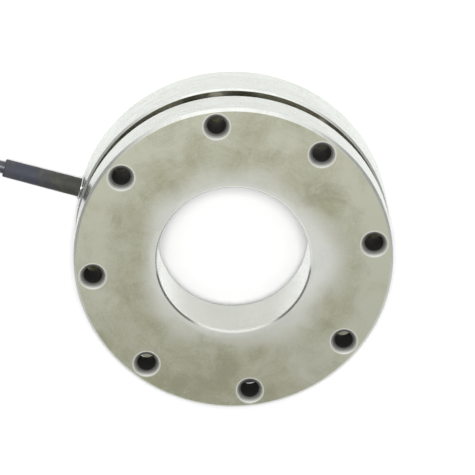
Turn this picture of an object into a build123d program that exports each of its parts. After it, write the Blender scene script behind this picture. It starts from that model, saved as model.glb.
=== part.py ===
"""Compression force sensor with a flanged ring body and a side cable.

The sensor lies on its mounting ring with the load flange up. Load on the flange passes down
the neck and through a thin web to the mounting ring. Strain gauges under the web sit in a
sealed groove, and their signal leaves by the cable on the -X side.
Lengths are in millimetres, +Z is the load axis and the origin is at the centre of the base.
"""

import os
from math import cos, pi, radians, sin, tan

from build123d import *

os.makedirs("parts", exist_ok=True)

# Body, from the bore outwards and from the base up
bore_diameter = 72.0
neck_wall = 12.0
web_width = 9.5
ring_wall = 17.5
ring_height = 27.5
slot_height = 10.0
flange_thickness = 19.5
bore_length = 34.0
slot_root_fillet = 2.0
face_chamfer = 1.3
slot_chamfer = 1.0
bore_chamfer = 0.8
base_chamfer = 1.0

# Holes in the load flange and in the base
hole_count = 8
hole_inset = 8.5
first_hole_angle = 22.5
hole_diameter = 9.0
countersink_diameter = 12.6
countersink_angle = 90
thread_core_diameter = 6.8
thread_mouth_diameter = 8.6
thread_depth = 14.0

# Gauge groove, web and cover
web_thickness = 5.5
groove_undercut = 1.5
lip_wall = 2.3
cover_thickness = 1.5
cover_recess = 1.0
cover_outer_seat_width = 2.0
cover_inner_seat_width = 1.2
cover_clearance = 0.06

# Cable and its gland in the side of the mounting ring
cable_diameter = 5.8
cable_height = 12.0
cable_length = 3000.0
gland_bore_diameter = 11.0
gland_bore_depth = 11.0
cable_bore_diameter = 6.4
seal_length = 3.5
washer_thickness = 0.8
gland_nut_recess = 0.5
fit_clearance = 0.05
sleeve_length = 38.0
sleeve_depth = 2.5
sleeve_root_diameter = 8.9
sleeve_tip_diameter = 8.6
sleeve_bore_diameter = 6.4
ferrule_diameter = 7.2
ferrule_length = 3.2
ferrule_gap = 0.3

# Gauges and wiring
gauge_length = 3.0
gauge_width = 5.0
gauge_thickness = 0.4
gauge_edge_gap = 0.8
gauge_angles = (45, 135, 225, 315)
board_thickness = 1.6
board_half_angle = 28.0
board_edge_gap = 1.2
spacer_height = 2.0
spacer_diameter = 4.0
board_screw_angle = 22.0
board_screw_diameter = 2.0
board_screw_head_diameter = 3.8
board_screw_head_height = 1.4
board_screw_grip = 3.0
chip_size = (2.0, 1.2, 0.6)
chip_angles = (-15, -11, 11, 15)
core_diameter = 0.9
core_rise = 2.6
core_bend_radius = 0.9
core_offsets = (-1.5, -0.5, 0.5, 1.5)
core_pad_offsets = (-6.0, -2.0, 2.0, 6.0)
harness_diameter = 1.0
jumper_diameter = 0.5

# Stored coil and its ties
tie_thickness = 1.2
tie_width = 9.0
tie_angles = (30, 150)
coil_columns = 4
coil_layers = 4
coil_mean_radius = 34.0
coil_distance = 185.0

# Plug on the cable's end, measured along its axis from the back of the clamp nut
clamp_nut_diameter = 16.0
clamp_nut_mouth_diameter = 9.0
clamp_nut_taper = 4.0
clamp_nut_length = 14.0
clamp_thread_diameter = 11.0
clamp_thread_start = 6.0
plug_cable_end = 8.0
plug_body_diameter = 14.0
plug_body_end = 32.0
plug_insert_diameter = 8.6
plug_insert_start = 26.0
plug_insert_face = 38.0
plug_insert_wall = 0.7
contact_diameter = 1.0
contact_length = 6.5
contact_circle = 4.6
contact_count = 4
coupling_diameter = 14.8
coupling_thread_diameter = 12.0
coupling_bore_diameter = 9.8
coupling_grip_length = 7.0
coupling_end = 46.0
coupling_gap = 0.3
ring_seal_diameter = 14.2
ring_seal_thickness = 1.2

# Derived radii and heights
bore_radius = bore_diameter / 2
neck_radius = bore_radius + neck_wall
groove_outer = neck_radius + web_width
outer_radius = groove_outer + ring_wall
hole_circle_radius = outer_radius - hole_inset
groove_inner = neck_radius - groove_undercut
lip_bore = groove_inner - lip_wall
seat_outer = groove_outer + cover_outer_seat_width
seat_inner = groove_inner - cover_inner_seat_width
flange_under = ring_height + slot_height
total_height = flange_under + flange_thickness
hub_end = total_height - bore_length
groove_top = ring_height - web_thickness
seat_top = cover_recess + cover_thickness
sleeve_end = outer_radius + sleeve_length
jacket_end = groove_outer - ferrule_length - ferrule_gap
inner_gauge_radius = groove_inner + gauge_edge_gap + gauge_length / 2
outer_gauge_radius = groove_outer - gauge_edge_gap - gauge_length / 2
cable_radius = cable_diameter / 2
board_bottom = groove_top - spacer_height - board_thickness
board_circle = (groove_outer + groove_inner) / 2


def cable_plane(distance):
    """Plane across the cable's axis, facing outwards, at this distance from the load axis."""
    return Plane(origin=(-distance, 0, cable_height), x_dir=(0, 1, 0), z_dir=(-1, 0, 0))


def polar(radius, angle, height=0.0):
    """Point at this radius and angle about the load axis."""
    return (radius * cos(radians(angle)), radius * sin(radians(angle)), height)


def arc_radii(points):
    """Radius at each inner point: 0.45 of the shorter run over the tangent of half the turn."""
    vectors = [Vector(*end) - Vector(*start) for start, end in zip(points, points[1:])]
    radii = []
    for before, after in zip(vectors, vectors[1:]):
        half_turn = radians(before.get_angle(after)) / 2
        radii.append(0.45 * min(before.length, after.length) / tan(half_turn))
    return radii


# Body, turned from one piece of stainless steel: flange, neck, web, lip and mounting ring
with BuildPart() as measuring_body:
    with BuildSketch(Plane.XZ):
        with BuildLine():
            Polyline(
                (bore_radius, total_height - bore_chamfer),
                (bore_radius + bore_chamfer, total_height),
                (outer_radius - face_chamfer, total_height),
                (outer_radius, total_height - face_chamfer),
                (outer_radius, flange_under + slot_chamfer),
                (outer_radius - slot_chamfer, flange_under),
                (neck_radius, flange_under),
                (neck_radius, ring_height),
                (outer_radius - slot_chamfer, ring_height),
                (outer_radius, ring_height - slot_chamfer),
                (outer_radius, base_chamfer),
                (outer_radius - base_chamfer, 0),
                (seat_outer, 0),
                (seat_outer, seat_top),
                (groove_outer, seat_top),
                (groove_outer, groove_top),
                (groove_inner, groove_top),
                (groove_inner, seat_top),
                (seat_inner, seat_top),
                (seat_inner, cover_recess),
                (lip_bore, cover_recess),
                (lip_bore, hub_end),
                (bore_radius + bore_chamfer, hub_end),
                (bore_radius, hub_end + bore_chamfer),
                close=True,
            )
        face = make_face()
        roots = [v for v in face.vertices() if abs(v.X - neck_radius) < 0.01]
        fillet(roots, slot_root_fillet)
    revolve(axis=Axis.Z)
    with Locations((0, 0, total_height)):
        with PolarLocations(hole_circle_radius, hole_count, start_angle=first_hole_angle):
            CounterSinkHole(
                hole_diameter / 2,
                countersink_diameter / 2,
                depth=flange_thickness + slot_height / 2,
                counter_sink_angle=countersink_angle,
            )
    with PolarLocations(hole_circle_radius, hole_count, start_angle=first_hole_angle):
        mouth_depth = (thread_mouth_diameter - thread_core_diameter) / 2
        Cone(
            thread_mouth_diameter / 2,
            thread_core_diameter / 2,
            mouth_depth,
            align=(Align.CENTER, Align.CENTER, Align.MIN),
            mode=Mode.SUBTRACT,
        )
        Cylinder(
            thread_core_diameter / 2,
            thread_depth,
            align=(Align.CENTER, Align.CENTER, Align.MIN),
            mode=Mode.SUBTRACT,
        )
    with BuildSketch(cable_plane(outer_radius)):
        Circle(gland_bore_diameter / 2)
    extrude(amount=-gland_bore_depth, mode=Mode.SUBTRACT)
    with BuildSketch(cable_plane(outer_radius)):
        Circle(cable_bore_diameter / 2)
    extrude(amount=-(outer_radius - board_circle), mode=Mode.SUBTRACT)
    for side in (-1, 1):
        with Locations(polar(board_circle, 180 + side * board_screw_angle, groove_top)):
            Cylinder(
                board_screw_diameter / 2,
                board_screw_grip + fit_clearance,
                align=(Align.CENTER, Align.CENTER, Align.MIN),
                mode=Mode.SUBTRACT,
            )
measuring_body.part.label = "measuring_body"

# Cover ring, let into the groove's mouth a little above the base plane
with BuildPart() as cover_ring:
    with BuildSketch(Plane.XY.offset(cover_recess)):
        Circle(seat_outer - cover_clearance)
        Circle(seat_inner + cover_clearance, mode=Mode.SUBTRACT)
    extrude(amount=cover_thickness)
cover_ring.part.label = "cover_ring"


def add_gauges(radius):
    """Flat gauges under the web at one radius, each with its length towards the axis."""
    for angle in gauge_angles:
        with Locations(Location(polar(radius, angle, groove_top), (0, 0, angle))):
            Box(
                gauge_length,
                gauge_width,
                gauge_thickness,
                align=(Align.CENTER, Align.CENTER, Align.MAX),
            )


# Strain gauges in two rows, where the web bends most
with BuildPart() as inner_gauges:
    add_gauges(inner_gauge_radius)
inner_gauges.part.label = "inner_gauges"

with BuildPart() as outer_gauges:
    add_gauges(outer_gauge_radius)
outer_gauges.part.label = "outer_gauges"

# Terminal board, an arc of circuit board over the cable's inner end
with BuildPart() as terminal_board:
    with BuildSketch(Plane.XY.offset(board_bottom)):
        Circle(groove_outer - board_edge_gap)
        Circle(groove_inner + board_edge_gap, mode=Mode.SUBTRACT)
        reach = 2 * groove_outer
        with BuildLine():
            Polyline(
                (0, 0),
                polar(reach, 180 - board_half_angle)[:2],
                polar(reach, 180 + board_half_angle)[:2],
                close=True,
            )
        make_face(mode=Mode.INTERSECT)
    extrude(amount=board_thickness)
    with BuildSketch(Plane.XY.offset(board_bottom)):
        for side in (-1, 1):
            with Locations(polar(board_circle, 180 + side * board_screw_angle)[:2]):
                Circle(board_screw_diameter / 2 + fit_clearance)
    extrude(amount=board_thickness, mode=Mode.SUBTRACT)
terminal_board.part.label = "terminal_board"

# Two spacers between the board and the web
with BuildPart() as board_spacers:
    with BuildSketch(Plane.XY.offset(groove_top - spacer_height)):
        for side in (-1, 1):
            with Locations(polar(board_circle, 180 + side * board_screw_angle)[:2]):
                Circle(spacer_diameter / 2)
                Circle(board_screw_diameter / 2 + fit_clearance, mode=Mode.SUBTRACT)
    extrude(amount=spacer_height)
board_spacers.part.label = "board_spacers"

# Two screws up through the board and spacers into the web
with BuildPart() as board_screws:
    for side in (-1, 1):
        with Locations(polar(board_circle, 180 + side * board_screw_angle, board_bottom)):
            Cylinder(
                board_screw_head_diameter / 2,
                board_screw_head_height,
                align=(Align.CENTER, Align.CENTER, Align.MAX),
            )
            Cylinder(
                board_screw_diameter / 2 - fit_clearance,
                board_thickness + spacer_height + board_screw_grip,
                align=(Align.CENTER, Align.CENTER, Align.MIN),
            )
board_screws.part.label = "board_screws"

# Balancing resistors under the board
with BuildPart() as balance_resistors:
    for angle in chip_angles:
        place = polar(board_circle, 180 + angle, board_bottom)
        with Locations(Location(place, (0, 0, angle))):
            Box(*chip_size, align=(Align.CENTER, Align.CENTER, Align.MAX))
balance_resistors.part.label = "balance_resistors"

# Wire ring that joins the gauges to the ends of the board
harness_height = board_bottom + board_thickness / 2
with BuildPart() as gauge_harness:
    start = polar(board_circle, 180 + board_half_angle, harness_height)
    with BuildLine() as ring_path:
        ThreePointArc(
            start,
            polar(board_circle, 0, harness_height),
            polar(board_circle, 180 - board_half_angle, harness_height),
        )
    with BuildSketch(Plane(origin=start, z_dir=ring_path.line % 0)):
        Circle(harness_diameter / 2)
    sweep(path=ring_path.line)
    for angle in gauge_angles:
        for pad in (
            inner_gauge_radius + gauge_length / 2,
            outer_gauge_radius - gauge_length / 2,
        ):
            foot = polar(board_circle, angle, harness_height)
            tip = polar(pad, angle, groove_top - gauge_thickness)
            reach = Vector(*tip) - Vector(*foot)
            with BuildSketch(Plane(origin=foot, z_dir=reach)):
                Circle(jumper_diameter / 2)
            extrude(amount=reach.length - jumper_diameter / 2)
gauge_harness.part.label = "gauge_harness"

# Four cable cores that rise to their pads under the board
with BuildPart() as cable_cores:
    for offset, pad_offset in zip(core_offsets, core_pad_offsets):
        points = [
            (-jacket_end, offset, cable_height),
            (-jacket_end + core_rise, offset, cable_height),
            (-jacket_end + core_rise, pad_offset, cable_height + cable_radius),
            (-jacket_end + core_rise, pad_offset, board_bottom),
        ]
        with BuildLine() as core_path:
            FilletPolyline(*points, radius=core_bend_radius)
        with BuildSketch(cable_plane(jacket_end)):
            with Locations((offset, 0)):
                Circle(core_diameter / 2)
        sweep(path=core_path.line)
cable_cores.part.label = "cable_cores"

# Crimped ferrule that keeps the cable from being pulled out
with BuildPart() as cable_ferrule:
    with BuildSketch(cable_plane(jacket_end)):
        Circle(ferrule_diameter / 2)
        Circle(cable_radius + fit_clearance, mode=Mode.SUBTRACT)
    extrude(amount=ferrule_length)
cable_ferrule.part.label = "cable_ferrule"

# Gland in the side of the mounting ring: rubber seal, washer and hollow screw
gland_floor = outer_radius - gland_bore_depth
with BuildPart() as gland_seal:
    with BuildSketch(cable_plane(gland_floor)):
        Circle(gland_bore_diameter / 2 - fit_clearance)
        Circle(cable_radius + fit_clearance, mode=Mode.SUBTRACT)
    extrude(amount=seal_length)
gland_seal.part.label = "gland_seal"

with BuildPart() as gland_washer:
    with BuildSketch(cable_plane(gland_floor + seal_length)):
        Circle(gland_bore_diameter / 2 - fit_clearance)
        Circle(cable_bore_diameter / 2, mode=Mode.SUBTRACT)
    extrude(amount=washer_thickness)
gland_washer.part.label = "gland_washer"

with BuildPart() as gland_screw:
    screw_start = gland_floor + seal_length + washer_thickness
    screw_end = outer_radius - gland_nut_recess
    with BuildSketch(cable_plane(screw_start)):
        Circle(gland_bore_diameter / 2 - fit_clearance)
        Circle(cable_bore_diameter / 2, mode=Mode.SUBTRACT)
    extrude(amount=screw_end - screw_start)
    with BuildSketch(cable_plane(outer_radius - sleeve_depth)):
        Circle(sleeve_root_diameter / 2 + fit_clearance)
    extrude(amount=sleeve_depth, mode=Mode.SUBTRACT)
gland_screw.part.label = "gland_screw"

# Tapered rubber sleeve over the cable where it leaves the ring
with BuildPart() as strain_relief:
    with BuildSketch(cable_plane(outer_radius - sleeve_depth)):
        Circle(sleeve_root_diameter / 2)
    with BuildSketch(cable_plane(sleeve_end)):
        Circle(sleeve_tip_diameter / 2)
    loft()
    with BuildSketch(cable_plane(outer_radius - sleeve_depth)):
        Circle(sleeve_bore_diameter / 2)
    extrude(amount=sleeve_end - outer_radius + sleeve_depth, mode=Mode.SUBTRACT)
strain_relief.part.label = "strain_relief"

# Cable from its inner end to the coil: straight through the sleeve, then down to the floor
coil_bottom = tie_thickness
first_turn_height = coil_bottom + cable_radius
outer_turn = coil_mean_radius + (coil_columns - 1) / 2 * cable_diameter
last_turn_height = first_turn_height + (coil_layers - 1) * cable_diameter
coil_centre = (-coil_distance, -outer_turn)
coil_top = coil_bottom + coil_layers * cable_diameter
plug_height = coil_top + clamp_nut_diameter / 2 + fit_clearance
run_points = [
    (-jacket_end, 0, cable_height),
    (-114, 0, cable_height),
    (-140, 0, 9.8),
    (-163, 0, 5.6),
    (-coil_distance, 0, first_turn_height),
]
with BuildPart() as cable_run:
    with BuildLine() as run_path:
        FilletPolyline(*run_points, radius=arc_radii(run_points))
    with BuildSketch(cable_plane(jacket_end)):
        Circle(cable_radius)
    sweep(path=run_path.line)
cable_run.part.label = "cable_run"

# Coil of the stored length, one solid with the outer shape of its turns
with BuildPart() as cable_coil:
    with BuildSketch(Plane.XZ):
        with Locations((coil_mean_radius, coil_bottom)):
            RectangleRounded(
                coil_columns * cable_diameter,
                coil_layers * cable_diameter,
                cable_radius - fit_clearance,
                align=(Align.CENTER, Align.MIN),
            )
    revolve(axis=Axis.Z)
cable_coil.part = cable_coil.part.moved(Location((*coil_centre, 0)))
cable_coil.part.label = "cable_coil"

# Two hook-and-loop ties round the coil
with BuildPart() as coil_ties:
    for angle in tie_angles:
        radial = Vector(cos(radians(angle)), sin(radians(angle)), 0)
        middle = Vector(*coil_centre, 0) + radial * coil_mean_radius
        across = Plane(origin=middle, x_dir=radial, z_dir=Vector(0, 0, 1).cross(radial))
        with BuildSketch(across):
            height = coil_layers * cable_diameter
            with Locations((0, -height / 2 - coil_bottom)):
                RectangleRounded(
                    coil_columns * cable_diameter + 2 * tie_thickness,
                    height + 2 * tie_thickness,
                    cable_radius + tie_thickness,
                )
        extrude(amount=tie_width / 2, both=True)
    add(cable_coil.part, mode=Mode.SUBTRACT)
coil_ties.part.label = "coil_ties"

# Free end of the cable, which rises from the coil's last turn to the plug lying on the coil
tail_points = [
    (-226.2, -31.6, last_turn_height),
    (-227.5, -50.2, 21.8),
    (-219.5, -67.7, 24.4),
    (-204.3, -79.1, 28.9),
    (-186.3, -81.2, plug_height),
    (-171.3, -76.5, plug_height),
]
with BuildPart() as cable_tail:
    with BuildLine() as tail_path:
        FilletPolyline(*tail_points, radius=arc_radii(tail_points))
    with BuildSketch(Plane(origin=tail_points[0], z_dir=tail_path.line % 0)):
        Circle(cable_radius)
    sweep(path=tail_path.line)
cable_tail.part.label = "cable_tail"

plug_axis = (Vector(*tail_points[-1]) - Vector(*tail_points[-2])).normalized()
plug_back = Vector(*tail_points[-1]) - plug_axis * plug_cable_end


def plug_plane(distance):
    """Plane across the plug's axis at this distance from the back of the clamp nut."""
    return Plane(origin=plug_back + plug_axis * distance, x_dir=(0, 0, 1), z_dir=plug_axis)


# Clamp nut that holds the cable in the plug
with BuildPart() as plug_clamp_nut:
    with BuildSketch(plug_plane(0)):
        Circle(clamp_nut_mouth_diameter / 2)
    with BuildSketch(plug_plane(clamp_nut_taper)):
        Circle(clamp_nut_diameter / 2)
    loft()
    with BuildSketch(plug_plane(clamp_nut_taper)):
        Circle(clamp_nut_diameter / 2)
    extrude(amount=clamp_nut_length - clamp_nut_taper)
    with BuildSketch(plug_plane(0)):
        Circle(cable_radius + fit_clearance)
    extrude(amount=clamp_thread_start, mode=Mode.SUBTRACT)
    with BuildSketch(plug_plane(clamp_thread_start)):
        Circle(clamp_thread_diameter / 2 + fit_clearance)
    extrude(amount=clamp_nut_length - clamp_thread_start, mode=Mode.SUBTRACT)
plug_clamp_nut.part.label = "plug_clamp_nut"

# Plug body, a sleeve with the clamp nut's thread on its back
with BuildPart() as plug_body:
    with BuildSketch(plug_plane(clamp_thread_start)):
        Circle(clamp_thread_diameter / 2)
    extrude(amount=clamp_nut_length - clamp_thread_start)
    with BuildSketch(plug_plane(clamp_nut_length)):
        Circle(plug_body_diameter / 2)
    extrude(amount=plug_body_end - clamp_nut_length)
    with BuildSketch(plug_plane(clamp_thread_start)):
        Circle(cable_radius + fit_clearance)
    extrude(amount=plug_cable_end - clamp_thread_start, mode=Mode.SUBTRACT)
    with BuildSketch(plug_plane(plug_cable_end)):
        Circle(plug_insert_diameter / 2 + fit_clearance)
    extrude(amount=plug_body_end - plug_cable_end, mode=Mode.SUBTRACT)
plug_body.part.label = "plug_body"

# Insulating insert with a cup round its contacts
with BuildPart() as plug_insert:
    with BuildSketch(plug_plane(plug_insert_start)):
        Circle(plug_insert_diameter / 2)
        with PolarLocations(contact_circle / 2, contact_count, start_angle=45):
            Circle(contact_diameter / 2, mode=Mode.SUBTRACT)
    extrude(amount=plug_insert_face - plug_insert_start)
    with BuildSketch(plug_plane(plug_insert_face)):
        Circle(plug_insert_diameter / 2)
        Circle(plug_insert_diameter / 2 - plug_insert_wall, mode=Mode.SUBTRACT)
    extrude(amount=coupling_end - plug_insert_face)
plug_insert.part.label = "plug_insert"

# Contact pins through the insert
with BuildPart() as plug_contacts:
    with BuildSketch(plug_plane(plug_insert_start)):
        with PolarLocations(contact_circle / 2, contact_count, start_angle=45):
            Circle(contact_diameter / 2)
    extrude(amount=plug_insert_face - plug_insert_start + contact_length)
plug_contacts.part.label = "plug_contacts"

# Coupling nut, loose on the insert, with its grip at the back and its thread in front
thread_start = plug_body_end + coupling_gap + coupling_grip_length
with BuildPart() as plug_coupling_nut:
    with BuildSketch(plug_plane(plug_body_end + coupling_gap)):
        Circle(coupling_diameter / 2)
    extrude(amount=coupling_grip_length)
    with BuildSketch(plug_plane(thread_start)):
        Circle(coupling_thread_diameter / 2)
    extrude(amount=coupling_end - thread_start)
    with BuildSketch(plug_plane(plug_body_end)):
        Circle(coupling_bore_diameter / 2)
    extrude(amount=coupling_end - plug_body_end, mode=Mode.SUBTRACT)
plug_coupling_nut.part.label = "plug_coupling_nut"

# Rubber ring at the root of the coupling thread
with BuildPart() as plug_seal:
    with BuildSketch(plug_plane(thread_start)):
        Circle(ring_seal_diameter / 2)
        Circle(coupling_thread_diameter / 2, mode=Mode.SUBTRACT)
    extrude(amount=ring_seal_thickness)
plug_seal.part.label = "plug_seal"

sub_parts = (
    measuring_body,
    cover_ring,
    inner_gauges,
    outer_gauges,
    terminal_board,
    board_spacers,
    board_screws,
    balance_resistors,
    gauge_harness,
    cable_cores,
    cable_ferrule,
    gland_seal,
    gland_washer,
    gland_screw,
    strain_relief,
    cable_run,
    cable_coil,
    coil_ties,
    cable_tail,
    plug_clamp_nut,
    plug_body,
    plug_insert,
    plug_contacts,
    plug_coupling_nut,
    plug_seal,
)
for sub_part in sub_parts:
    export_step(sub_part.part, f"parts/{sub_part.part.label}.step")

# The cable's facts: arc radii, tube volumes against section times length, and whole length
section = pi * cable_radius**2
for name, points, path, tube in (
    ("cable_run", run_points, run_path, cable_run),
    ("cable_tail", tail_points, tail_path, cable_tail),
):
    ratio = tube.part.volume / (section * path.wire().length)
    print(name, "arc radii", [round(radius) for radius in arc_radii(points)])
    print(name, "length", round(path.wire().length, 1), "volume ratio", round(ratio, 4))
free_length = run_path.wire().length + tail_path.wire().length
coil_turns = (cable_length - free_length) / (2 * pi * coil_mean_radius)
print("turns in the coil", round(coil_turns, 2))
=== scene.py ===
"""Looks of the compression force sensor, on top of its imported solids. Lengths are in metres."""

import math

import bpy
from mathutils import Matrix, Vector


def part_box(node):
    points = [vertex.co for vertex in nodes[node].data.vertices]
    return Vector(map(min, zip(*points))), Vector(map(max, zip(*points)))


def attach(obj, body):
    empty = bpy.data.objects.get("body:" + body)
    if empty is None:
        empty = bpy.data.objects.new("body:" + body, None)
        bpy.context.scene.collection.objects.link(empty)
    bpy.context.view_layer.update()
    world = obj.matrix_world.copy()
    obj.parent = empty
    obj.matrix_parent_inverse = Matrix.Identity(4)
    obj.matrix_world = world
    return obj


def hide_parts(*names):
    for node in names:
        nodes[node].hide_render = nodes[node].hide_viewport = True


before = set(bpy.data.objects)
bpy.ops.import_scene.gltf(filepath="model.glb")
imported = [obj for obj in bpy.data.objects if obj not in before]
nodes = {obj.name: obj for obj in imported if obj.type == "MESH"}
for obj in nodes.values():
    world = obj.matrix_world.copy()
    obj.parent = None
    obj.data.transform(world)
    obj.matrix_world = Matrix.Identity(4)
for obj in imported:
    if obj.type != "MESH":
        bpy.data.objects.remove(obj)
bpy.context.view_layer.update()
scene = bpy.context.scene

# Sizes that the frame gives
body_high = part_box("measuring_body")[1]
outer_radius = body_high.x
total_height = body_high.z
coil_low, coil_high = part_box("cable_coil")
coil_centre = (coil_low + coil_high) / 2
cover_low, cover_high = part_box("cover_ring")
sleeve_low, sleeve_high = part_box("strain_relief")

# Body
bore_radius = 0.036
ring_height = 0.0275
flange_under = 0.0375
face_chamfer = 0.0013
slot_chamfer = 0.001
bore_chamfer = 0.0008
hole_count = 8
hole_circle_radius = 0.0665
hole_radius = 0.0045
countersink_radius = 0.0063
first_hole_angle = math.radians(22.5)
base_hole_radius = 0.0034
base_thread_depth = 0.014
base_thread_pitch = 0.00125
cover_inner_radius = 0.0453

# Sleeve and cable
cable_height = 0.012
sleeve_root_radius = 0.00445
sleeve_tip_radius = 0.0043
sleeve_bore_radius = 0.0032
cable_radius = 0.0029
coil_bottom = 0.0012
coil_mean_radius = 0.034
coil_columns = 4
coil_layers = 4

# Ties round the coil
tie_angles = (30, 150)
tie_width = 0.009
tie_thickness = 0.0012

# Plug, measured along its axis from the back of the clamp nut
plug_end_of_cable = Vector((-0.1713, -0.0765, 0.03245))
plug_before_end = Vector((-0.1863, -0.0812, 0.03245))
plug_axis = (plug_end_of_cable - plug_before_end).normalized()
cable_in_plug = 0.008
plug_back = plug_end_of_cable - plug_axis * cable_in_plug
plug_clearance = 0.00005


# Camera, floor and light


def add_camera():
    """Camera above the flange, tilted 20 degrees off the load axis towards the photograph's top."""
    elevation = math.radians(69.69)
    azimuth = math.radians(107.57)
    image_roll = math.radians(178.08)
    distance = 1.7961
    target = Vector((-0.00126, 0.01152, total_height))
    back = Vector(
        (
            math.cos(elevation) * math.cos(azimuth),
            math.cos(elevation) * math.sin(azimuth),
            math.sin(elevation),
        )
    )
    data = bpy.data.cameras.new("camera")
    data.lens = 290.97
    data.sensor_width = 36.0
    data.clip_start = 0.05
    data.clip_end = 20.0
    camera = bpy.data.objects.new("camera", data)
    scene.collection.objects.link(camera)
    turn = (-back).to_track_quat("-Z", "Y").to_matrix() @ Matrix.Rotation(image_roll, 3, "Z")
    camera.matrix_world = Matrix.Translation(target + back * distance) @ turn.to_4x4()
    scene.camera = camera


def add_floor():
    """Plain pale paper under the part."""
    half = 4.0
    mesh = bpy.data.meshes.new("floor")
    corners = [(-half, -half, 0), (half, -half, 0), (half, half, 0), (-half, half, 0)]
    mesh.from_pydata(corners, [], [(0, 1, 2, 3)])
    floor = bpy.data.objects.new("floor", mesh)
    scene.collection.objects.link(floor)
    mesh.materials.append(new_material("studio_paper", (0.93, 0.93, 0.93), 0.85)[0])


def add_area_light(name, azimuth, elevation, distance, size, power):
    """Square soft box that looks at the middle of the ring."""
    place = Vector(sky_direction(azimuth, elevation)) * distance
    data = bpy.data.lights.new(name, "AREA")
    data.shape = "SQUARE"
    data.size = size
    data.energy = power
    light = bpy.data.objects.new(name, data)
    light.location = place
    light.rotation_mode = "QUATERNION"
    light.rotation_quaternion = (-place).to_track_quat("-Z", "Y")
    scene.collection.objects.link(light)


def add_bloom():
    """The white background spills a little over the object's edges, as in the photograph."""
    scene.use_nodes = True
    tree = scene.node_tree
    tree.nodes.clear()
    layers = tree.nodes.new("CompositorNodeRLayers")
    glare = tree.nodes.new("CompositorNodeGlare")
    glare.glare_type = "FOG_GLOW"
    glare.quality = "HIGH"
    glare.inputs["Threshold"].default_value = 0.95
    glare.inputs["Strength"].default_value = 0.35
    glare.inputs["Size"].default_value = 0.25
    output = tree.nodes.new("CompositorNodeComposite")
    tree.links.new(layers.outputs["Image"], glare.inputs["Image"])
    tree.links.new(glare.outputs["Image"], output.inputs["Image"])


def sky_direction(azimuth, elevation):
    flat = math.cos(math.radians(elevation))
    return (
        flat * math.cos(math.radians(azimuth)),
        flat * math.sin(math.radians(azimuth)),
        math.sin(math.radians(elevation)),
    )


def add_world():
    """Pale grey studio: white low on the camera's side, darker where the face mirrors it."""
    # Azimuth and elevation of each spot's middle, the cosines of the angles from that middle at
    # which it begins and is full, and the strengths outside it and in it; the strengths add up
    spots = (
        (107, 20, 0.55, 0.9, 0.56, 1.15),
        (287, 69, 0.7, 0.98, 0.0, -0.1),
    )
    world = bpy.data.worlds.new("studio")
    world.use_nodes = True
    tree = world.node_tree
    background = tree.nodes["Background"]
    direction = add_node(tree, "ShaderNodeTexCoord").outputs["Generated"]
    strength = 0.0
    for azimuth, elevation, begins, full, outside, inside in spots:
        closeness = add_node(tree, "ShaderNodeVectorMath", operation="DOT_PRODUCT")
        closeness.inputs[1].default_value = sky_direction(azimuth, elevation)
        tree.links.new(direction, closeness.inputs[0])
        spot = map_range(tree, closeness.outputs["Value"], begins, full, outside, inside)
        strength = maths(tree, "ADD", spot, strength)
    tree.links.new(strength, background.inputs["Strength"])
    background.inputs["Color"].default_value = (1.0, 1.0, 1.0, 1.0)
    scene.world = world


# Material nodes


def add_node(tree, kind, **settings):
    node = tree.nodes.new(kind)
    for name, value in settings.items():
        setattr(node, name, value)
    return node


def set_input(tree, socket, value):
    """Links a socket to another one, or gives it a plain value."""
    if isinstance(value, bpy.types.NodeSocket):
        tree.links.new(value, socket)
    else:
        socket.default_value = value


def maths(tree, operation, first, second=0.0, third=0.0):
    node = add_node(tree, "ShaderNodeMath", operation=operation)
    for socket, value in zip(node.inputs, (first, second, third)):
        set_input(tree, socket, value)
    return node.outputs[0]


def multiply(tree, first, *others):
    for other in others:
        first = maths(tree, "MULTIPLY", first, other)
    return first


def largest(tree, first, *others):
    for other in others:
        first = maths(tree, "MAXIMUM", first, other)
    return first


def add_share(tree, value, share, amount):
    return maths(tree, "ADD", value, multiply(tree, share, amount))


def blend(tree, share, first, second):
    """The first value where share is 0, and the second where it is 1."""
    return add_share(tree, first, share, maths(tree, "SUBTRACT", second, first))


def flat_distance(tree, x, y):
    """Length of the offset (x, y)."""
    return maths(tree, "SQRT", maths(tree, "ADD", multiply(tree, x, x), multiply(tree, y, y)))


def facing(tree, angle, azimuth):
    """1 on the side with that azimuth in degrees, 0 at right angles to it, -1 on the far side."""
    return maths(tree, "COSINE", maths(tree, "SUBTRACT", angle, math.radians(azimuth)))


def map_range(tree, value, low, high, to_low=0.0, to_high=1.0):
    """Smooth step from one value at low to another at high."""
    node = add_node(tree, "ShaderNodeMapRange", interpolation_type="SMOOTHSTEP")
    for socket, amount in zip(node.inputs, (value, low, high, to_low, to_high)):
        set_input(tree, socket, amount)
    return node.outputs[0]


def band(tree, value, low, high, soft):
    """1 between low and high, fading to 0 over the soft width outside them."""
    rise = map_range(tree, value, low - soft, low)
    fall = map_range(tree, value, high, high + soft, 1.0, 0.0)
    return multiply(tree, rise, fall)


def noise(tree, vector, scale, detail=4.0, roughness=0.55, distortion=0.0):
    node = add_node(tree, "ShaderNodeTexNoise")
    set_input(tree, node.inputs["Vector"], vector)
    node.inputs["Scale"].default_value = scale
    node.inputs["Detail"].default_value = detail
    node.inputs["Roughness"].default_value = roughness
    node.inputs["Distortion"].default_value = distortion
    return node.outputs["Fac"]


def combine(tree, x, y, z):
    node = add_node(tree, "ShaderNodeCombineXYZ")
    for socket, value in zip(node.inputs, (x, y, z)):
        set_input(tree, socket, value)
    return node.outputs[0]


def mix_color(tree, factor, first, second):
    node = add_node(tree, "ShaderNodeMix", data_type="RGBA")
    set_input(tree, node.inputs["Factor"], factor)
    for name, value in (("A", first), ("B", second)):
        socket = [item for item in node.inputs if item.name == name and item.type == "RGBA"][0]
        set_input(tree, socket, value if isinstance(value, bpy.types.NodeSocket) else (*value, 1))
    return [item for item in node.outputs if item.type == "RGBA"][0]


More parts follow.
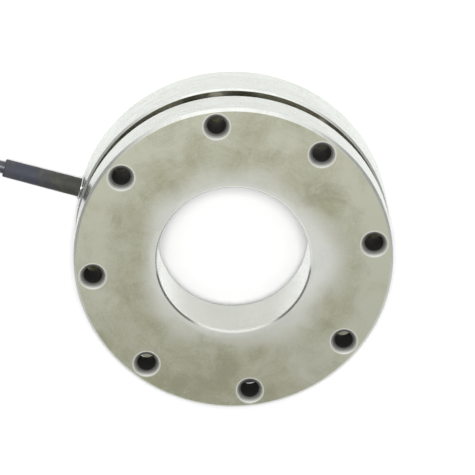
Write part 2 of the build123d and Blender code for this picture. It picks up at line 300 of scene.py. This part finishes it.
def bump(tree, height, distance, strength=1.0, normal=None):
    node = add_node(tree, "ShaderNodeBump")
    node.inputs["Strength"].default_value = strength
    node.inputs["Distance"].default_value = distance
    set_input(tree, node.inputs["Height"], height)
    if normal is not None:
        tree.links.new(normal, node.inputs["Normal"])
    return node.outputs[0]


def new_material(name, color, roughness, metallic=0.0):
    material = bpy.data.materials.new(name)
    material.use_nodes = True
    tree = material.node_tree
    shader = tree.nodes["Principled BSDF"]
    shader.inputs["Base Color"].default_value = (*color, 1.0)
    shader.inputs["Roughness"].default_value = roughness
    shader.inputs["Metallic"].default_value = metallic
    return material, tree, shader


def object_position(tree):
    return add_node(tree, "ShaderNodeTexCoord").outputs["Object"]


def split(tree, vector):
    node = add_node(tree, "ShaderNodeSeparateXYZ")
    tree.links.new(vector, node.inputs[0])
    return node.outputs


def grained(name, light, dark, roughness, metallic=0.0, scale=900.0):
    """Finish with two tones in soft patches, uneven gloss and a fine grain."""
    grain_depth = 0.00005
    gloss_spread = 0.06
    material, tree, shader = new_material(name, light, roughness, metallic)
    position = object_position(tree)
    patches = noise(tree, position, scale / 6, 5.0, 0.6)
    grain = noise(tree, position, scale, 3.0, 0.6)
    stain = add_share(tree, multiply(tree, patches, 0.7), grain, 0.3)
    color = mix_color(tree, map_range(tree, stain, 0.35, 0.65), light, dark)
    tree.links.new(color, shader.inputs["Base Color"])
    gloss = map_range(
        tree, patches, 0.3, 0.7, roughness - gloss_spread, roughness + gloss_spread
    )
    tree.links.new(gloss, shader.inputs["Roughness"])
    tree.links.new(bump(tree, grain, grain_depth), shader.inputs["Normal"])
    return material


# Materials


def nearest_hole(tree, radius, angle):
    """Offsets from the nearest hole's axis, outwards and sideways: all sectors fold onto one."""
    sector = 2 * math.pi / hole_count
    turned = maths(tree, "SUBTRACT", angle, first_hole_angle)
    folded = maths(tree, "PINGPONG", turned, sector / 2)
    along = multiply(tree, radius, maths(tree, "COSINE", folded))
    aside = multiply(tree, radius, maths(tree, "SINE", folded))
    return maths(tree, "SUBTRACT", along, hole_circle_radius), aside


def steel_zones(tree, x, y, z, radius, from_hole):
    """Masks, each 1 in one part of the measuring body and 0 elsewhere."""
    fade = 0.0001
    cone_bottom = total_height - (countersink_radius - hole_radius)
    chamfer_bottom = total_height - bore_chamfer
    slot_rim = outer_radius - slot_chamfer
    slot_inside = bore_radius + 0.006
    ring_edge = band(tree, z, ring_height - slot_chamfer, ring_height, fade)
    flange_edge = band(tree, z, flange_under, flange_under + slot_chamfer, fade)
    near_cone = map_range(
        tree, from_hole, countersink_radius - fade, countersink_radius + 2 * fade, 1.0, 0.0
    )
    near_wall = map_range(tree, from_hole, hole_radius + 0.00003, hole_radius + 0.00012, 1.0, 0.0)
    return {
        "face": map_range(tree, z, total_height - 0.00025, total_height - 0.00008),
        "bore": map_range(tree, radius, bore_radius + 3 * fade, bore_radius + 6 * fade, 1.0, 0.0),
        "cone": multiply(
            tree, near_cone, map_range(tree, z, cone_bottom - 5 * fade, cone_bottom)
        ),
        "hole": multiply(
            tree, near_wall, map_range(tree, z, flange_under - 5 * fade, flange_under)
        ),
        "slot": multiply(
            tree,
            band(tree, z, ring_height - 3 * fade, flange_under + 3 * fade, 2 * fade),
            band(tree, radius, slot_inside, slot_rim, fade),
        ),
        # Painted shadow, near black, on the ring's edge seen through the lowest hole on the -y side
        "painted_shadow_spot": multiply(
            tree,
            map_range(tree, from_hole, 0.0094, 0.0108, 1.0, 0.0),
            map_range(tree, y, -0.052, -0.047, 1.0, 0.0),
            ring_edge,
            map_range(tree, radius, outer_radius - 0.0028, outer_radius - 0.002),
            map_range(tree, x, 0.0, 0.01),
        ),
        "outer_edge": multiply(
            tree,
            band(tree, z, total_height - face_chamfer, total_height, fade),
            band(tree, radius, outer_radius - face_chamfer - fade, outer_radius, fade),
        ),
        "slot_edges": multiply(
            tree,
            largest(tree, ring_edge, flange_edge),
            band(tree, radius, slot_rim, outer_radius - fade, fade),
        ),
        "hole_edge": multiply(
            tree,
            band(
                tree,
                from_hole,
                countersink_radius - 2 * fade,
                countersink_radius + 3 * fade,
                3 * fade,
            ),
            map_range(tree, z, total_height - 6 * fade, total_height - 3 * fade),
        ),
        "bore_edge": multiply(
            tree,
            band(tree, radius, bore_radius + fade, bore_radius + bore_chamfer, 2 * fade),
            map_range(tree, z, chamfer_bottom - fade, chamfer_bottom),
        ),
    }


def base_threads(tree, z, along, aside, from_hole):
    """Height of a screw thread in the holes of the base, and 0 elsewhere."""
    in_hole = multiply(
        tree,
        map_range(tree, from_hole, base_hole_radius + 0.0001, base_hole_radius + 0.0003, 1.0, 0.0),
        map_range(tree, z, base_thread_depth - 0.0006, base_thread_depth - 0.0001, 1.0, 0.0),
    )
    turns = maths(tree, "DIVIDE", maths(tree, "ARCTAN2", aside, along), 2 * math.pi)
    rise = maths(tree, "ADD", maths(tree, "DIVIDE", z, base_thread_pitch), turns)
    return multiply(tree, maths(tree, "PINGPONG", rise, 0.5), in_hole)


def turned_steel():
    """Stainless steel: stained matt face with painted shade and sheen, cleaner rims, painted edge
    highlights, holes painted dark as shade, threads below.
    """
    rim_color = (0.53, 0.55, 0.52)
    rim_stain = (0.47, 0.485, 0.44)
    slot_color = (0.5, 0.49, 0.39)
    bore_color = (0.56, 0.57, 0.525)
    bore_sheen_color = (0.84, 0.85, 0.82)
    face_light = (0.503, 0.511, 0.412)
    face_dark = (0.3, 0.3, 0.214)
    brown_color = (0.335, 0.3, 0.192)
    halo_highlight_color = (0.635, 0.643, 0.606)
    edge_highlight_color = (0.86, 0.88, 0.84)
    cone_color = (0.56, 0.56, 0.53)
    painted_dark_color = (0.13, 0.13, 0.12)
    hole_lip_color = (0.16, 0.157, 0.148)
    hole_shade_color = (0.012, 0.011, 0.01)
    material, tree, shader = new_material("turned_steel", rim_color, 0.3, 1.0)
    position = object_position(tree)
    x, y, z = split(tree, position)
    radius = flat_distance(tree, x, y)
    angle = maths(tree, "ARCTAN2", y, x)
    along, aside = nearest_hole(tree, radius, angle)
    from_hole = flat_distance(tree, along, aside)
    zones = steel_zones(tree, x, y, z, radius, from_hole)

    # Stains in patches of two sizes, grain, browner spots, and fine and broad turning marks
    patches = noise(tree, position, 62.0, 7.0, 0.66, 0.5)
    large = noise(tree, position, 24.0, 2.0, 0.5, 0.3)
    grain = noise(tree, position, 1500.0, 3.0, 0.7)
    brown = noise(tree, combine(tree, y, z, x), 55.0, 4.0, 0.6, 0.6)
    streak_place = combine(
        tree, multiply(tree, radius, 1100.0), multiply(tree, angle, 2.0), multiply(tree, z, 1100.0)
    )
    streaks = noise(tree, streak_place, 1.0, 4.0, 0.65)
    smear_place = combine(
        tree, multiply(tree, angle, 7.0), multiply(tree, z, 260.0), multiply(tree, radius, 260.0)
    )
    smears = noise(tree, smear_place, 1.0, 5.0, 0.6)

    # The face's tone: painted shade makes it darker towards -y, and painted sheen makes it paler
    # near its rim at the sides and in one patch near its rim
    sheen_axis = 14
    sheen_patch_azimuth = -12
    tone = 0.5
    for source, amount in ((patches, 5.2), (large, 1.8), (grain, 1.9), (streaks, 0.8)):
        tone = maths(tree, "MULTIPLY_ADD", maths(tree, "SUBTRACT", source, 0.5), amount, tone)
    tone = maths(tree, "ADD", tone, map_range(tree, y, -0.075, 0.05, 0.28, -0.06))
    sideways = facing(tree, angle, sheen_axis)
    sideways = multiply(tree, sideways, sideways)
    painted_rim_sheen = multiply(
        tree,
        map_range(tree, radius, 0.054, 0.069, 0.0, 1.5),
        map_range(tree, y, -0.06, -0.02),
        maths(tree, "MULTIPLY_ADD", sideways, 0.8, 0.2),
    )
    painted_sheen_patch = multiply(
        tree,
        map_range(tree, facing(tree, angle, sheen_patch_azimuth), 0.82, 1.0),
        map_range(tree, radius, 0.056, 0.068, 0.0, 0.45),
    )
    tone = maths(tree, "SUBTRACT", maths(tree, "SUBTRACT", tone, painted_rim_sheen), painted_sheen_patch)

    # The face's colour: stained by its tone, with a painted highlight as a halo and lip round the
    # bore
    halo_azimuth = 32
    face = mix_color(tree, map_range(tree, tone, -0.8, 1.8), face_light, face_dark)
    face = mix_color(tree, map_range(tree, brown, 0.5, 0.75, 0.0, 0.3), face, brown_color)
    uneven = maths(tree, "ADD", radius, map_range(tree, large, 0.3, 0.7, -0.004, 0.004))
    wider = map_range(tree, facing(tree, angle, halo_azimuth), -0.2, 1.0, -0.0005, 0.0034)
    uneven = maths(tree, "SUBTRACT", uneven, wider)
    painted_halo = multiply(
        tree,
        map_range(tree, uneven, bore_radius - 0.001, bore_radius + 0.015, 1.0, 0.0),
        maths(tree, "MULTIPLY_ADD", sideways, 0.55, 0.45),
        map_range(tree, patches, 0.35, 0.65, 1.15, 0.85),
    )
    painted_lip = map_range(tree, radius, bore_radius + 0.001, bore_radius + 0.007, 0.8, 0.0)
    face = mix_color(tree, largest(tree, painted_halo, painted_lip), face, halo_highlight_color)

    # The rims, the bore with painted sheen on its sides and a painted glint under its edge, and the
    # slot
    rim = mix_color(tree, map_range(tree, smears, 0.3, 0.75, 0.0, 0.55), rim_color, rim_stain)
    bore = mix_color(tree, map_range(tree, sideways, 0.25, 0.85), bore_color, bore_sheen_color)
    bore = mix_color(tree, map_range(tree, large, 0.4, 0.65, 0.0, 0.35), bore, rim_stain)
    glint = multiply(
        tree,
        map_range(tree, z, total_height - 0.0035, total_height - bore_chamfer, 0.0, 0.55),
        map_range(tree, y, -0.034, -0.02, 1.0, 0.0),
    )
    bore = mix_color(tree, glint, bore, bore_sheen_color)
    rim = mix_color(tree, zones["bore"], rim, bore)
    rim = mix_color(tree, zones["slot"], rim, slot_color)
    color = mix_color(tree, zones["face"], rim, face)

    # Painted highlights on the edges, brightest towards +y and fading at the sides, and painted
    # dark reflections in arcs on the bore's lower edge
    lower_side = 287.6
    outer_edges = largest(tree, zones["outer_edge"], zones["slot_edges"])
    outer_edges = multiply(tree, outer_edges, map_range(tree, sideways, 0.1, 0.8, 0.9, 0.0))
    bore_edge = multiply(tree, zones["bore_edge"], map_range(tree, y, -0.02, 0.03, 0.1, 0.8))
    edge_highlights = multiply(
        tree,
        largest(tree, outer_edges, bore_edge),
        multiply(
            tree,
            map_range(tree, patches, 0.35, 0.7, 1.0, 0.6),
            map_range(tree, y, -0.065, 0.02, 0.1, 1.0),
        ),
    )
    color = mix_color(tree, edge_highlights, color, edge_highlight_color)
    arcs = band(tree, facing(tree, angle, lower_side), 0.2, 0.78, 0.12)
    painted_dark_reflection = multiply(tree, zones["bore_edge"], arcs, 0.75)
    color = mix_color(tree, painted_dark_reflection, color, painted_dark_color)

    # The holes: countersink and wall painted darker with depth as shade, a painted shadow under one
    # of them, and a painted highlight on the edge
    to_rim = map_range(tree, from_hole, hole_radius, countersink_radius)
    cone = mix_color(tree, to_rim, painted_dark_color, cone_color)
    color = mix_color(tree, zones["cone"], color, cone)
    to_lip = map_range(tree, z, total_height - 0.004, total_height - 0.0015)
    hole = mix_color(tree, to_lip, hole_shade_color, hole_lip_color)
    color = mix_color(tree, zones["hole"], color, hole)
    color = mix_color(tree, zones["painted_shadow_spot"], color, hole_shade_color)
    color = mix_color(tree, multiply(tree, zones["hole_edge"], 0.38), color, edge_highlight_color)
    tree.links.new(color, shader.inputs["Base Color"])

    # Painted shade in the holes, the painted shadow under one, the painted highlight on the bore's
    # edge and, a little, dirt in the slot take the metal shine away
    slot_dirt = multiply(tree, zones["slot"], map_range(tree, patches, 0.35, 0.65, 0.02, 0.12))
    dirt_and_painted_light = largest(tree, slot_dirt, zones["hole"], bore_edge, zones["painted_shadow_spot"])
    tree.links.new(maths(tree, "SUBTRACT", 1.0, dirt_and_painted_light), shader.inputs["Metallic"])

    # Gloss: matt face, smoother rims and bore, mirror-like slot, rough painted shade in the holes
    # and under one of them
    gloss = map_range(tree, smears, 0.3, 0.7, 0.22, 0.3)
    gloss = blend(tree, zones["bore"], gloss, 0.27)
    gloss = blend(tree, zones["face"], gloss, map_range(tree, tone, 0.0, 1.0, 0.46, 0.54))
    rough_painted_shade = largest(tree, zones["hole"], zones["painted_shadow_spot"])
    for zone, amount in ((zones["slot"], -0.1), (zones["cone"], 0.25), (rough_painted_shade, 0.6)):
        gloss = add_share(tree, gloss, zone, amount)
    tree.links.new(gloss, shader.inputs["Roughness"])

    # Relief: grain on the face, turning marks outside the bore, threads in the base's holes
    normal = bump(tree, multiply(tree, grain, zones["face"]), 0.00003, 0.35)
    marks = multiply(
        tree,
        streaks,
        maths(tree, "MULTIPLY_ADD", zones["face"], 0.7, 0.3),
        maths(tree, "SUBTRACT", 1.0, zones["bore"]),
    )
    normal = bump(tree, marks, 0.000008, 0.4, normal)
    thread = base_threads(tree, z, along, aside, from_hole)
    normal = bump(tree, thread, 0.0008, 0.9, normal)
    tree.links.new(normal, shader.inputs["Normal"])
    return material


def dusty_rubber():
    """Moulded rubber, bluish at the tip and browner at the root, with patches of dust."""
    tip_color = (0.034, 0.038, 0.052)
    root_color = (0.03, 0.03, 0.022)
    dust_color = (0.12, 0.12, 0.11)
    material, tree, shader = new_material("sleeve_rubber", tip_color, 0.65)
    position = object_position(tree)
    x = split(tree, position)[0]
    length = sleeve_high.x - sleeve_low.x
    patches = noise(tree, position, 170.0, 5.0, 0.6, 0.4)
    grain = noise(tree, position, 1800.0, 3.0, 0.65)
    to_root = map_range(tree, x, sleeve_high.x - length * 0.85, sleeve_high.x - length * 0.15)
    to_root = maths(tree, "ADD", to_root, map_range(tree, patches, 0.3, 0.7, -0.3, 0.3))
    color = mix_color(tree, to_root, tip_color, root_color)
    dust = map_range(tree, patches, 0.45, 0.75, 0.0, 0.35)
    color = mix_color(tree, dust, color, dust_color)
    tree.links.new(color, shader.inputs["Base Color"])
    tree.links.new(map_range(tree, patches, 0.3, 0.7, 0.6, 0.8), shader.inputs["Roughness"])
    ridge_pitch = 0.0016
    ridges = maths(tree, "SINE", multiply(tree, x, 2 * math.pi / ridge_pitch))
    height = maths(tree, "MULTIPLY_ADD", ridges, 0.12, grain)
    tree.links.new(bump(tree, height, 0.00008, 0.6), shader.inputs["Normal"])
    shader.inputs["Specular IOR Level"].default_value = 0.35
    return material


def woven_tie():
    """Black loop fabric with crossed threads."""
    hollow_color = (0.012, 0.012, 0.014)
    thread_color = (0.05, 0.05, 0.054)
    material, tree, shader = new_material("tie_fabric", hollow_color, 0.9)
    position = object_position(tree)
    fuzz = noise(tree, position, 2600.0, 3.0, 0.7)
    loops = noise(tree, position, 1100.0, 2.0, 0.5)
    color = mix_color(tree, map_range(tree, loops, 0.35, 0.65), hollow_color, thread_color)
    tree.links.new(color, shader.inputs["Base Color"])
    height = maths(tree, "ADD", fuzz, loops)
    tree.links.new(bump(tree, height, 0.0003), shader.inputs["Normal"])
    shader.inputs["Sheen Weight"].default_value = 0.3
    shader.inputs["Sheen Roughness"].default_value = 0.6
    return material


# Pieces


def link_mesh(name, vertices, faces, material):
    """Smooth-shaded piece on the part's one body."""
    mesh = bpy.data.meshes.new(name)
    mesh.from_pydata(vertices, [], faces)
    mesh.validate()
    mesh.shade_smooth()
    piece = bpy.data.objects.new(name, mesh)
    scene.collection.objects.link(piece)
    mesh.materials.append(material)
    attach(piece, "root")
    return piece


def tube_faces(rows, size, first=0, closed=True, flip=False):
    """Quads between rows of size points each; closed joins the last row to the first as well."""
    faces = []
    for row in range(rows if closed else rows - 1):
        after = (row + 1) % rows
        for index in range(size):
            near = (index + 1) % size
            corners = ((row, index), (after, index), (after, near), (row, near))
            if flip:
                corners = ((row, index), (row, near), (after, near), (after, index))
            faces.append(tuple(first + at * size + point for at, point in corners))
    return faces


def turned_piece(name, start, axis, rings, segments, material, sharp=35):
    """Closed ring-shaped piece. Each ring is a distance along the axis and a radius, which may be
    a function of the angle round the axis."""
    side = axis.orthogonal().normalized()
    up = axis.cross(side)
    vertices = []
    for along, radius in rings:
        for index in range(segments):
            angle = 2 * math.pi * index / segments
            reach = radius(angle) if callable(radius) else radius
            outwards = side * math.cos(angle) + up * math.sin(angle)
            vertices.append(start + axis * along + outwards * reach)
    faces = tube_faces(len(rings), segments, flip=True)
    piece = link_mesh(name, vertices, faces, material)
    piece.data.set_sharp_from_angle(angle=math.radians(sharp))
    return piece


def add_sleeve(material):
    """Rubber sleeve with a rounded tip, a slight waist and faint ribs from the mould."""
    start = Vector((sleeve_high.x, 0.0, cable_height))
    length = sleeve_high.x - sleeve_low.x
    rounding = 0.0006
    rounding_steps = 5
    rib_height = 0.00002
    rib_spacing = 0.0013
    side_steps = 60
    rings = [(0.0, sleeve_bore_radius), (0.0, sleeve_root_radius)]
    for step in range(1, side_steps + 1):
        share = step / side_steps
        along = share * (length - rounding)
        radius = sleeve_root_radius + (sleeve_tip_radius - sleeve_root_radius) * share
        rib = rib_height * math.sin(along / rib_spacing) * math.sin(math.pi * share)
        rings.append((along, radius - rib_height + rib))
    for step in range(1, rounding_steps + 1):
        turn = step / rounding_steps * math.pi / 2
        along = length - rounding + rounding * math.sin(turn)
        rings.append((along, sleeve_tip_radius - rounding + rounding * math.cos(turn)))
    rings.append((length, sleeve_bore_radius))
    sleeve = turned_piece("sleeve", start, Vector((-1, 0, 0)), rings, 64, material)
    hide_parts("strain_relief")
    return sleeve


def add_collar(material):
    """Thin bright bead where the sleeve leaves the ring's side."""
    middle = 0.0049
    bead = 0.00042
    sides = 16
    start = Vector((-outer_radius, 0.0, cable_height))
    rings = []
    for step in range(sides):
        turn = 2 * math.pi * step / sides
        rings.append((bead * (0.9 - math.cos(turn)), middle + bead * math.sin(turn)))
    collar = turned_piece("gland_collar", start, Vector((-1, 0, 0)), rings, 64, material, 180)
    return collar


def add_weld(name, radius, material):
    """Weld bead round the cover, with the scales of an overlapping seam."""
    segments = 720
    sides = 8
    scale_count = 180
    scale_depth = 0.25
    bead = 0.00035
    bead_reach = bead * 1.6
    vertices = []
    for index in range(segments):
        angle = 2 * math.pi * index / segments
        scale = 1 - scale_depth * ((angle * scale_count / (2 * math.pi)) % 1.0)
        for side in range(sides):
            turn = 2 * math.pi * side / sides
            reach = radius + bead_reach * math.cos(turn)
            height = cover_low.z + bead * scale * math.sin(turn)
            vertices.append((reach * math.cos(angle), reach * math.sin(angle), height))
    weld = link_mesh(name, vertices, tube_faces(segments, sides), material)
    return weld


def coil_turns():
    """Radius and height of each turn's centreline, from the lowest layer's outside upwards."""
    pitch = 2 * cable_radius
    middle_column = (coil_columns - 1) / 2
    radii = [
        coil_mean_radius + (middle_column - column) * pitch for column in range(coil_columns)
    ]
    # Two full layers, and two that leave the innermost column free
    outer_radii = radii[:-1]
    rows = [radii, radii[::-1], outer_radii, outer_radii[::-1]]
    turns = []
    for layer, row in enumerate(rows):
        height = coil_bottom + cable_radius + layer * pitch
        turns += [(radius, height) for radius in row]
    return turns


def coil_points():
    """The coil's turns, with each step to the next radius or height in the last part of a turn."""
    turns = coil_turns()
    turn_count = 13.25
    points_per_turn = 24
    shift_share = 0.22
    count = int(turn_count * points_per_turn)
    points = []
    for index in range(1, count + 1):
        # The spline runs inside its points, so all but the last lie a little further out
        swell = 1 / math.cos(math.pi / points_per_turn) if index < count else 1.0
        turn = index / points_per_turn
        number = min(int(turn), len(turns) - 1)
        share = turn - number
        ahead = turns[min(number + 1, len(turns) - 1)]
        shift = max(0.0, (share - (1 - shift_share)) / shift_share)
        shift = shift * shift * (3 - 2 * shift)
        radius = turns[number][0] + (ahead[0] - turns[number][0]) * shift
        height = turns[number][1] + (ahead[1] - turns[number][1]) * shift
        angle = math.radians(90) + turn * 2 * math.pi
        points.append(
            (
                coil_centre.x + swell * radius * math.cos(angle),
                coil_centre.y + swell * radius * math.sin(angle),
                height,
            )
        )
    return points


def add_cable(material):
    """The whole cable as one smooth spline: run, coil and tail."""
    run = [
        (-0.054, 0, 0.012),
        (-0.098, 0, 0.012),
        (-0.114, 0, 0.012),
        (-0.140, 0, 0.0098),
        (-0.163, 0, 0.0056),
        (-0.185, 0, 0.0041),
    ]
    tail = [
        (-0.2275, -0.0502, 0.0218),
        (-0.2195, -0.0677, 0.0244),
        (-0.2043, -0.0791, 0.0289),
        tuple(plug_before_end),
        tuple(plug_end_of_cable),
    ]
    points = run + coil_points() + tail
    curve = bpy.data.curves.new("cable", "CURVE")
    curve.dimensions = "3D"
    curve.bevel_depth = cable_radius
    curve.bevel_resolution = 6
    curve.resolution_u = 3
    curve.use_fill_caps = True
    spline = curve.splines.new("NURBS")
    spline.points.add(len(points) - 1)
    for point, place in zip(spline.points, points):
        point.co = (*place, 1.0)
    spline.order_u = 3
    spline.use_endpoint_u = True
    cable = bpy.data.objects.new("cable", curve)
    scene.collection.objects.link(cable)
    curve.materials.append(material)
    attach(cable, "root")
    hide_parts("cable_run", "cable_coil", "cable_tail")
    return cable


def add_ties(material):
    """Two fabric straps round the coil's section, each with its end lapped over on top."""
    half_width = coil_columns * cable_radius
    half_height = coil_layers * cable_radius
    corner = cable_radius
    corner_steps = 8
    strap_edge_drop = 0.0004
    strap_gap = 0.00005
    middle_height = coil_bottom + half_height
    outline = []
    corners = ((1, 1, 0), (-1, 1, 90), (-1, -1, 180), (1, -1, 270))
    for sign_x, sign_y, first in corners:
        corner_x = sign_x * (half_width - corner)
        corner_y = sign_y * (half_height - corner)
        for step in range(corner_steps + 1):
            turn = math.radians(first + 90 * step / corner_steps)
            outline.append((corner_x, corner_y, math.cos(turn), math.sin(turn)))

    # Section of the strap's lapped end, with a rounded lip, and its rows across the strap
    lap_thickness = 0.0011
    lap_base = half_height + tie_thickness * 0.6
    lap_top = half_height + tie_thickness + lap_thickness
    lap = (
        (-half_width * 0.75, lap_base),
        (half_width * 0.62, lap_base),
        (half_width * 0.66, lap_base + 0.0004),
        (half_width * 0.66, lap_top - 0.0003),
        (half_width * 0.63, lap_top),
        (-half_width * 0.5, lap_top),
        (-half_width * 0.68, lap_top - 0.0004),
    )
    lap_rows = ((-0.92, 0.0002), (-0.88, 0.0), (0.88, 0.0), (0.92, 0.0002))

    # Rows over the strap's outside and back under its inside: place across, and reach
    rows = (-1.0, -0.96, -0.5, 0.0, 0.5, 0.96, 1.0)
    loops = []
    for row in rows:
        drop = strap_edge_drop if abs(row) == 1.0 else 0.0
        loops.append((row, corner + tie_thickness * 0.98 - drop))
    for row in reversed(rows):
        loops.append((row, corner + strap_gap))

    vertices = []
    faces = []
    for angle in tie_angles:
        radial = Vector((math.cos(math.radians(angle)), math.sin(math.radians(angle)), 0))
        across = Vector((-radial.y, radial.x, 0)) * (tie_width / 2)
        centre = Vector((coil_centre.x, coil_centre.y, middle_height)) + radial * coil_mean_radius
        faces += tube_faces(len(loops), len(outline), len(vertices))
        for row, reach in loops:
            for corner_x, corner_y, cos_turn, sin_turn in outline:
                lift = Vector((0, 0, corner_y + reach * sin_turn))
                outwards = radial * (corner_x + reach * cos_turn)
                vertices.append(centre + outwards + lift + across * row)
        base = len(vertices)
        size = len(lap)
        faces += tube_faces(len(lap_rows), size, base, closed=False)
        for row, inset in lap_rows:
            for reach, height in lap:
                lift = Vector((0, 0, min(height, lap_top - inset)))
                vertices.append(centre + radial * reach + lift + across * row)
        faces.append(tuple(range(base, base + size)))
        faces.append(tuple(reversed(range(len(vertices) - size, len(vertices)))))
    ties = link_mesh("ties", vertices, faces, material)
    ties.data.set_sharp_from_angle(angle=math.radians(40))
    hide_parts("coil_ties")
    return ties


def add_clamp_nut(material):
    """Clamp nut with a cone at the back and six spanner flats."""
    mouth = 0.0045
    crest = 0.008
    bevel = 0.0003
    bore = cable_radius + plug_clearance
    counterbore = 0.00555
    flats = 0.0074

    def hexagon(angle):
        return min(crest, flats / math.cos((angle + math.pi / 6) % (math.pi / 3) - math.pi / 6))

    rings = [(0.0, bore), (0.0, mouth), (0.0036, crest - bevel), (0.004, crest), (0.0052, crest)]
    rings += [(0.0056, hexagon), (0.0128, hexagon), (0.0132, crest), (0.0137, crest)]
    rings += [(0.014, crest - bevel), (0.014, counterbore), (0.006, counterbore), (0.006, bore)]
    nut = turned_piece("clamp_nut", plug_back, plug_axis, rings, 96, material, 20)
    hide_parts("plug_clamp_nut")
    return nut


def add_plug_body(material):
    """Plug body with turned grooves and a band of straight knurling."""
    crest = 0.007
    bevel = 0.0003
    neck = 0.0055
    socket = 0.00435
    bore = cable_radius + plug_clearance
    knurl_count = 60
    knurl_depth = 0.0002

    def knurl(angle):
        return crest - knurl_depth * abs(math.sin(angle * knurl_count / 2))

    rings = [(0.006, bore), (0.006, neck), (0.0141, neck)]
    rings += [(0.0141, crest - bevel), (0.0144, crest)]
    for groove in (0.0165, 0.0185):
        rings += [(groove, crest), (groove + 0.0002, crest - bevel)]
        rings += [(groove + 0.0007, crest - bevel), (groove + 0.0009, crest)]
    rings += [(0.0212, crest), (0.0214, knurl), (0.0296, knurl), (0.0298, crest)]
    rings += [(0.0317, crest), (0.032, crest - bevel), (0.032, socket)]
    rings += [(0.008, socket), (0.008, bore)]
    body = turned_piece("plug_shell", plug_back, plug_axis, rings, 240, material, 25)
    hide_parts("plug_body")
    return body


def add_coupling_nut(material):
    """Coupling nut with a diamond-knurled grip at the back and a screw thread in front."""
    crest = 0.0074
    thread_crest = 0.006
    thread_depth = 0.00045
    thread_neck = thread_crest - 0.0006
    pitch = 0.001
    bore = 0.0049
    grip_start = 0.0323
    grip_end = 0.0393
    grip_steps = 24
    nut_end = 0.046
    thread_steps = 44
    knurl_count = 40
    knurl_depth = 0.00022
    knurl_lead = 0.0004

    def grip(along):
        def radius(angle):
            first = abs(math.sin(angle * knurl_count / 2 + along / knurl_lead))
            second = abs(math.sin(angle * knurl_count / 2 - along / knurl_lead))
            return crest - knurl_depth * (first + second)

        return radius

    def thread(along):
        def radius(angle):
            share = (along / pitch - angle / (2 * math.pi)) % 1.0
            return thread_crest - thread_depth * abs(2 * share - 1)

        return radius

    rings = [(grip_start - 0.0003, bore), (grip_start, crest - 0.0004)]
    rings += [(grip_start + 0.0004, crest)]
    for step in range(grip_steps + 1):
        along = grip_start + 0.0007 + (grip_end - grip_start - 0.0014) * step / grip_steps
        rings.append((along, grip(along)))
    rings += [(grip_end - 0.0004, crest), (grip_end, crest - 0.0003)]
    rings += [(grip_end, thread_neck), (grip_end + 0.0012, thread_neck)]
    for step in range(thread_steps + 1):
        along = grip_end + 0.0013 + (nut_end - grip_end - 0.0018) * step / thread_steps
        rings.append((along, thread(along)))
    rings += [(nut_end - 0.0003, thread_crest - 0.0005), (nut_end, thread_crest - 0.0007)]
    rings += [(nut_end, bore)]
    nut = turned_piece("coupling_nut", plug_back, plug_axis, rings, 320, material, 20)
    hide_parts("plug_coupling_nut")
    return nut


def dress(node_name, material):
    """Gives a solid that stays its material."""
    data = nodes[node_name].data
    data.materials.clear()
    data.materials.append(material)


add_camera()
add_world()
add_floor()
add_area_light("key", azimuth=107, elevation=71, distance=2.3, size=0.4, power=42)
scene.view_settings.view_transform = "Standard"
add_bloom()

# Materials of the solids that stay
steel = turned_steel()
small_steel = grained("small_steel", (0.6, 0.6, 0.59), (0.48, 0.48, 0.47), 0.3, 1.0)
cover_steel = grained("cover_steel", (0.62, 0.61, 0.59), (0.5, 0.49, 0.47), 0.34, 1.0, 700.0)
seal_rubber = grained("seal_rubber", (0.02, 0.02, 0.02), (0.035, 0.035, 0.035), 0.75)
dress("measuring_body", steel)
dress("cover_ring", cover_steel)
for name in ("board_screws", "cable_ferrule", "gland_washer", "gland_screw"):
    dress(name, small_steel)
for name in ("gland_seal", "plug_seal"):
    dress(name, seal_rubber)
film = grained("gauge_film", (0.62, 0.3, 0.07), (0.42, 0.18, 0.04), 0.35, 0.0, 3000.0)
dress("inner_gauges", film)
dress("outer_gauges", film)
dress("terminal_board", grained("circuit_board", (0.03, 0.2, 0.07), (0.02, 0.13, 0.05), 0.4))
dress("board_spacers", grained("small_brass", (0.75, 0.52, 0.2), (0.6, 0.4, 0.15), 0.3, 1.0))
dress("balance_resistors", grained("chip_black", (0.02, 0.02, 0.02), (0.04, 0.04, 0.04), 0.5))
dress("gauge_harness", grained("wire_enamel", (0.45, 0.1, 0.03), (0.3, 0.06, 0.02), 0.25))
dress("cable_cores", grained("core_insulation", (0.75, 0.74, 0.7), (0.6, 0.59, 0.55), 0.4))
dress("plug_insert", grained("plug_plastic", (0.025, 0.025, 0.027), (0.04, 0.04, 0.042), 0.5))
dress("plug_contacts", grained("contact_gold", (0.85, 0.6, 0.22), (0.75, 0.5, 0.18), 0.2, 1.0))

# New pieces
sleeve_rubber = dusty_rubber()
cable_jacket = grained("cable_jacket", (0.046, 0.048, 0.06), (0.03, 0.032, 0.04), 0.42)
plug_metal = grained("plug_metal", (0.72, 0.71, 0.68), (0.6, 0.59, 0.56), 0.22, 1.0)
sleeve = add_sleeve(sleeve_rubber)
cable = add_cable(cable_jacket)
ties = add_ties(woven_tie())
clamp_nut = add_clamp_nut(plug_metal)
plug_shell = add_plug_body(plug_metal)
coupling_nut = add_coupling_nut(plug_metal)
add_collar(small_steel)
add_weld("cover_weld_outer", cover_high.x, cover_steel)
add_weld("cover_weld_inner", cover_inner_radius, cover_steel)
